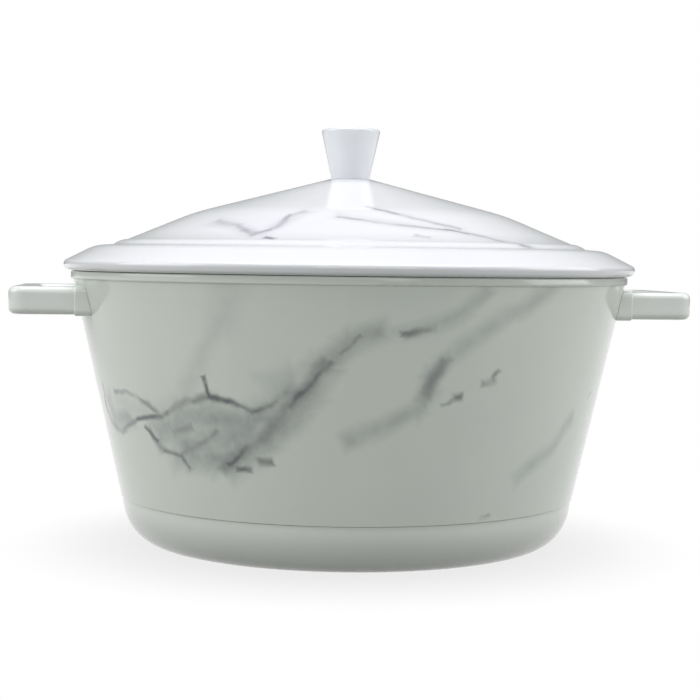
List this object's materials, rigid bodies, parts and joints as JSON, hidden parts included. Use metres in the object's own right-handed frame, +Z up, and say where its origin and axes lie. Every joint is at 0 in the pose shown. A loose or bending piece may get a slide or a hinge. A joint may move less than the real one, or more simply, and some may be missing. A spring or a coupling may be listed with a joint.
{
  "type": "hot stone heater",
  "caption": "Electric hot stone heater: tapered marble-print bowl casing with loop handles, removable stone pan, conical insulated lid and a rear mains panel.",
  "frame": {"origin": "on the bowl's axis, at the plane the rubber feet stand on", "axes": "+Z up along the bowl's axis; X runs through the two handles; +Y points out of the rear mains panel"},
  "size_m": [0.351, 0.3, 0.22],
  "materials": {
    "marble_plastic": "glossy white with a printed grey marble vein",
    "white_plastic": "glossy plain white",
    "spun_aluminium": "spun, fine turning marks",
    "pan_coating": "dark speckled non-stick coating, satin",
    "bright_steel": "bright rolled sheet",
    "zinc_steel": "zinc plated",
    "sheath_steel": "heat-darkened sheath",
    "brass_parts": "satin",
    "bead_ceramic": "matt fired",
    "black_plastic": "fine-grained black",
    "rocker_plastic": "glossy black",
    "lens_plastic": "clear amber",
    "lamp_glass": "clear",
    "felt": "needled mineral felt",
    "silicone": "soft translucent grey-white",
    "foot_rubber": "matt",
    "wire_brown": "silicone sleeve, brown",
    "wire_blue": "silicone sleeve, blue",
    "wire_green": "silicone sleeve, green and yellow"
  },
  "bodies": {
    "casing": {"outer_shell": "marble_plastic", "rim_ring": "white_plastic", "base_cover": "white_plastic", "handle_left": "white_plastic", "handle_right": "white_plastic", "heating_well": "spun_aluminium", "heat_spreader": "spun_aluminium", "thermostat_cap": "spun_aluminium", "heat_shield": "bright_steel", "sleeve_bands": "bright_steel", "thermostat_bracket": "bright_steel", "fuse_clip": "bright_steel", "element_clamps": "bright_steel", "rim_screws": "zinc_steel", "base_screws": "zinc_steel", "handle_screws": "zinc_steel", "handle_washers": "zinc_steel", "plate_screws": "zinc_steel", "panel_screws": "zinc_steel", "earth_screw": "zinc_steel", "tie_rods": "zinc_steel", "tie_spacers": "zinc_steel", "tie_nuts": "zinc_steel", "heating_element": "sheath_steel", "handle_inserts": "brass_parts", "inlet_pins": "brass_parts", "switch_tabs": "brass_parts", "thermostat_tabs": "brass_parts", "element_pins": "brass_parts", "earth_tag": "brass_parts", "element_beads": "bead_ceramic", "thermal_fuse": "bead_ceramic", "rear_panel": "black_plastic", "inlet_socket": "black_plastic", "switch_housing": "black_plastic", "lamp_holder": "black_plastic", "thermostat_body": "black_plastic", "lamp_lens": "lens_plastic", "neon_lamp": "lamp_glass", "insulation_sleeve": "felt", "rubber_feet": "foot_rubber", "lead_live": "wire_brown", "lead_switched": "wire_brown", "lead_fuse": "wire_brown", "lead_element": "wire_brown", "lamp_lead_live": "wire_brown", "lead_neutral": "wire_blue", "lamp_lead_neutral": "wire_blue", "lead_earth": "wire_green"},
    "rocker": {"switch_rocker": "rocker_plastic"},
    "pan": {"stone_pan": "pan_coating"},
    "lid": {"lid_shell": "marble_plastic", "lid_liner": "bright_steel", "lid_insulation": "felt", "lid_gasket": "silicone", "liner_screws": "zinc_steel", "lid_knob": "white_plastic", "knob_insert": "brass_parts", "knob_washer": "zinc_steel", "knob_screw": "zinc_steel"}
  },
  "joints": [
    {"name": "pan_lift", "type": "slide", "parent": "casing", "child": "pan", "axis": [0, 0, 1], "range_m": [0, 0.11]},
    {"name": "lid_lift", "type": "slide", "parent": "pan", "child": "lid", "axis": [0, 0, 1], "range_m": [0, 0.1]},
    {"name": "rocker_tip", "type": "hinge", "parent": "casing", "child": "rocker", "pos_m": [0.0125, 0.1126, 0.0435], "axis": [0, 0, 1], "range_deg": [-18, 0]}
  ]
}
